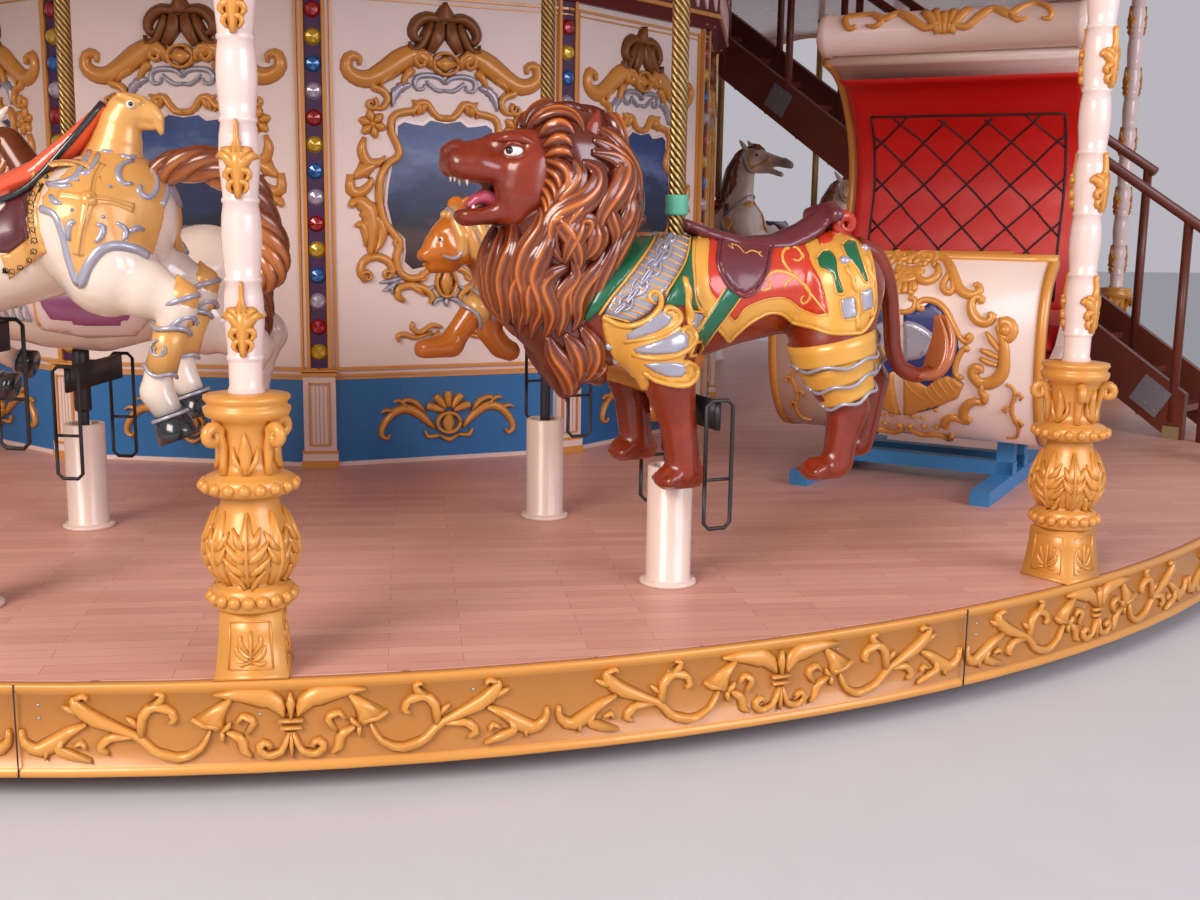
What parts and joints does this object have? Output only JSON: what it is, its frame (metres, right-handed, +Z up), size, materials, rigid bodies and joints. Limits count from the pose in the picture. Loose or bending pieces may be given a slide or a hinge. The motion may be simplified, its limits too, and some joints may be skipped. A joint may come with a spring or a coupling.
{
  "type": "double-deck merry-go-round",
  "caption": "Round platform ride turning about a centre drum, with riding animals that rise and fall on poles, chariots, flights of stairs, an upper deck and a roof.",
  "frame": {"origin": "on the ground at the centre of the turning axis", "axes": "+Z up along the turning axis; +X to the right and +Y away from whoever faces the bay with the lion and the tiger"},
  "size_m": [11.8, 11.8, 9.02],
  "materials": {
    "gold_paint": "gold-painted moulding, satin",
    "white_paint": "glossy off-white paint",
    "blue_paint": "glossy blue paint",
    "deck_laminate": "pinkish-brown laminate strips, satin",
    "stair_paint": "dark brown painted steel and wood",
    "dark_steel": "dark painted steel",
    "brass": "twisted brass sleeve on a steel pole",
    "red_padding": "red quilted leathercloth",
    "roof_paint": "red and cream painted roof panels",
    "lion_enamel": "red-brown enamel on moulded fibreglass",
    "tiger_enamel": "orange enamel on moulded fibreglass",
    "horse_enamel": "cream-white enamel on moulded fibreglass"
  },
  "bodies": {
    "base": {"base_frame": "dark_steel"},
    "platform": {"deck": "deck_laminate", "rim_fascia": "gold_paint", "drum": "white_paint", "drum_dado": "blue_paint", "drum_cornice": "white_paint", "column_01": "white_paint", "column_02": "white_paint", "column_03": "white_paint", "column_04": "white_paint", "column_05": "white_paint", "column_06": "white_paint", "column_07": "white_paint", "column_08": "white_paint", "column_09": "white_paint", "column_10": "white_paint", "column_11": "white_paint", "column_12": "white_paint", "ceiling": "white_paint", "upper_floor": "deck_laminate", "rounding_board": "gold_paint", "stair_1": "stair_paint", "stair_2": "stair_paint", "upper_railing": "gold_paint", "upper_drum": "white_paint", "roof": "roof_paint", "roof_finial": "gold_paint", "chariot_1_tub": "white_paint", "chariot_1_seat": "red_padding", "chariot_1_cradle": "blue_paint", "chariot_2_tub": "white_paint", "chariot_2_seat": "red_padding", "chariot_2_cradle": "blue_paint"},
    "lion_1_jumper": {"lion_1": "lion_enamel", "lion_1_pole": "brass"},
    "tiger_1_jumper": {"tiger_1": "tiger_enamel", "tiger_1_pole": "brass"},
    "horse_1_jumper": {"horse_1": "horse_enamel", "horse_1_pole": "brass"},
    "horse_2_jumper": {"horse_2": "horse_enamel", "horse_2_pole": "brass"},
    "horse_3_jumper": {"horse_3": "horse_enamel", "horse_3_pole": "brass"},
    "horse_4_jumper": {"horse_4": "horse_enamel", "horse_4_pole": "brass"},
    "lion_2_jumper": {"lion_2": "lion_enamel", "lion_2_pole": "brass"},
    "tiger_2_jumper": {"tiger_2": "tiger_enamel", "tiger_2_pole": "brass"},
    "horse_5_jumper": {"horse_5": "horse_enamel", "horse_5_pole": "brass"},
    "horse_6_jumper": {"horse_6": "horse_enamel", "horse_6_pole": "brass"},
    "horse_7_jumper": {"horse_7": "horse_enamel", "horse_7_pole": "brass"},
    "horse_8_jumper": {"horse_8": "horse_enamel", "horse_8_pole": "brass"}
  },
  "joints": [
    {"name": "platform_turn", "type": "hinge", "parent": "base", "child": "platform", "pos_m": [0, 0, 0], "axis": [0, 0, 1], "continuous": true},
    {"name": "lion_1_lift", "type": "slide", "parent": "platform", "child": "lion_1_jumper", "axis": [0, 0, 1], "range_m": [-0.14, 0.14]},
    {"name": "tiger_1_lift", "type": "slide", "parent": "platform", "child": "tiger_1_jumper", "axis": [0, 0, 1], "range_m": [-0.14, 0.14]},
    {"name": "horse_1_lift", "type": "slide", "parent": "platform", "child": "horse_1_jumper", "axis": [0, 0, 1], "range_m": [-0.14, 0.14]},
    {"name": "horse_2_lift", "type": "slide", "parent": "platform", "child": "horse_2_jumper", "axis": [0, 0, 1], "range_m": [-0.14, 0.14]},
    {"name": "horse_3_lift", "type": "slide", "parent": "platform", "child": "horse_3_jumper", "axis": [0, 0, 1], "range_m": [-0.14, 0.14]},
    {"name": "horse_4_lift", "type": "slide", "parent": "platform", "child": "horse_4_jumper", "axis": [0, 0, 1], "range_m": [-0.14, 0.14]},
    {"name": "lion_2_lift", "type": "slide", "parent": "platform", "child": "lion_2_jumper", "axis": [0, 0, 1], "range_m": [-0.14, 0.14]},
    {"name": "tiger_2_lift", "type": "slide", "parent": "platform", "child": "tiger_2_jumper", "axis": [0, 0, 1], "range_m": [-0.14, 0.14]},
    {"name": "horse_5_lift", "type": "slide", "parent": "platform", "child": "horse_5_jumper", "axis": [0, 0, 1], "range_m": [-0.14, 0.14]},
    {"name": "horse_6_lift", "type": "slide", "parent": "platform", "child": "horse_6_jumper", "axis": [0, 0, 1], "range_m": [-0.14, 0.14]},
    {"name": "horse_7_lift", "type": "slide", "parent": "platform", "child": "horse_7_jumper", "axis": [0, 0, 1], "range_m": [-0.14, 0.14]},
    {"name": "horse_8_lift", "type": "slide", "parent": "platform", "child": "horse_8_jumper", "axis": [0, 0, 1], "range_m": [-0.14, 0.14]}
  ],
  "couplings": [
    {"joint": "tiger_1_lift", "follows": "lion_1_lift", "ratio": -1},
    {"joint": "horse_1_lift", "follows": "lion_1_lift", "ratio": -1},
    {"joint": "horse_2_lift", "follows": "lion_1_lift", "ratio": 1},
    {"joint": "horse_3_lift", "follows": "lion_1_lift", "ratio": 1},
    {"joint": "horse_4_lift", "follows": "lion_1_lift", "ratio": -1},
    {"joint": "lion_2_lift", "follows": "lion_1_lift", "ratio": 1},
    {"joint": "tiger_2_lift", "follows": "lion_1_lift", "ratio": -1},
    {"joint": "horse_5_lift", "follows": "lion_1_lift", "ratio": -1},
    {"joint": "horse_6_lift", "follows": "lion_1_lift", "ratio": 1},
    {"joint": "horse_7_lift", "follows": "lion_1_lift", "ratio": 1},
    {"joint": "horse_8_lift", "follows": "lion_1_lift", "ratio": -1}
  ]
}
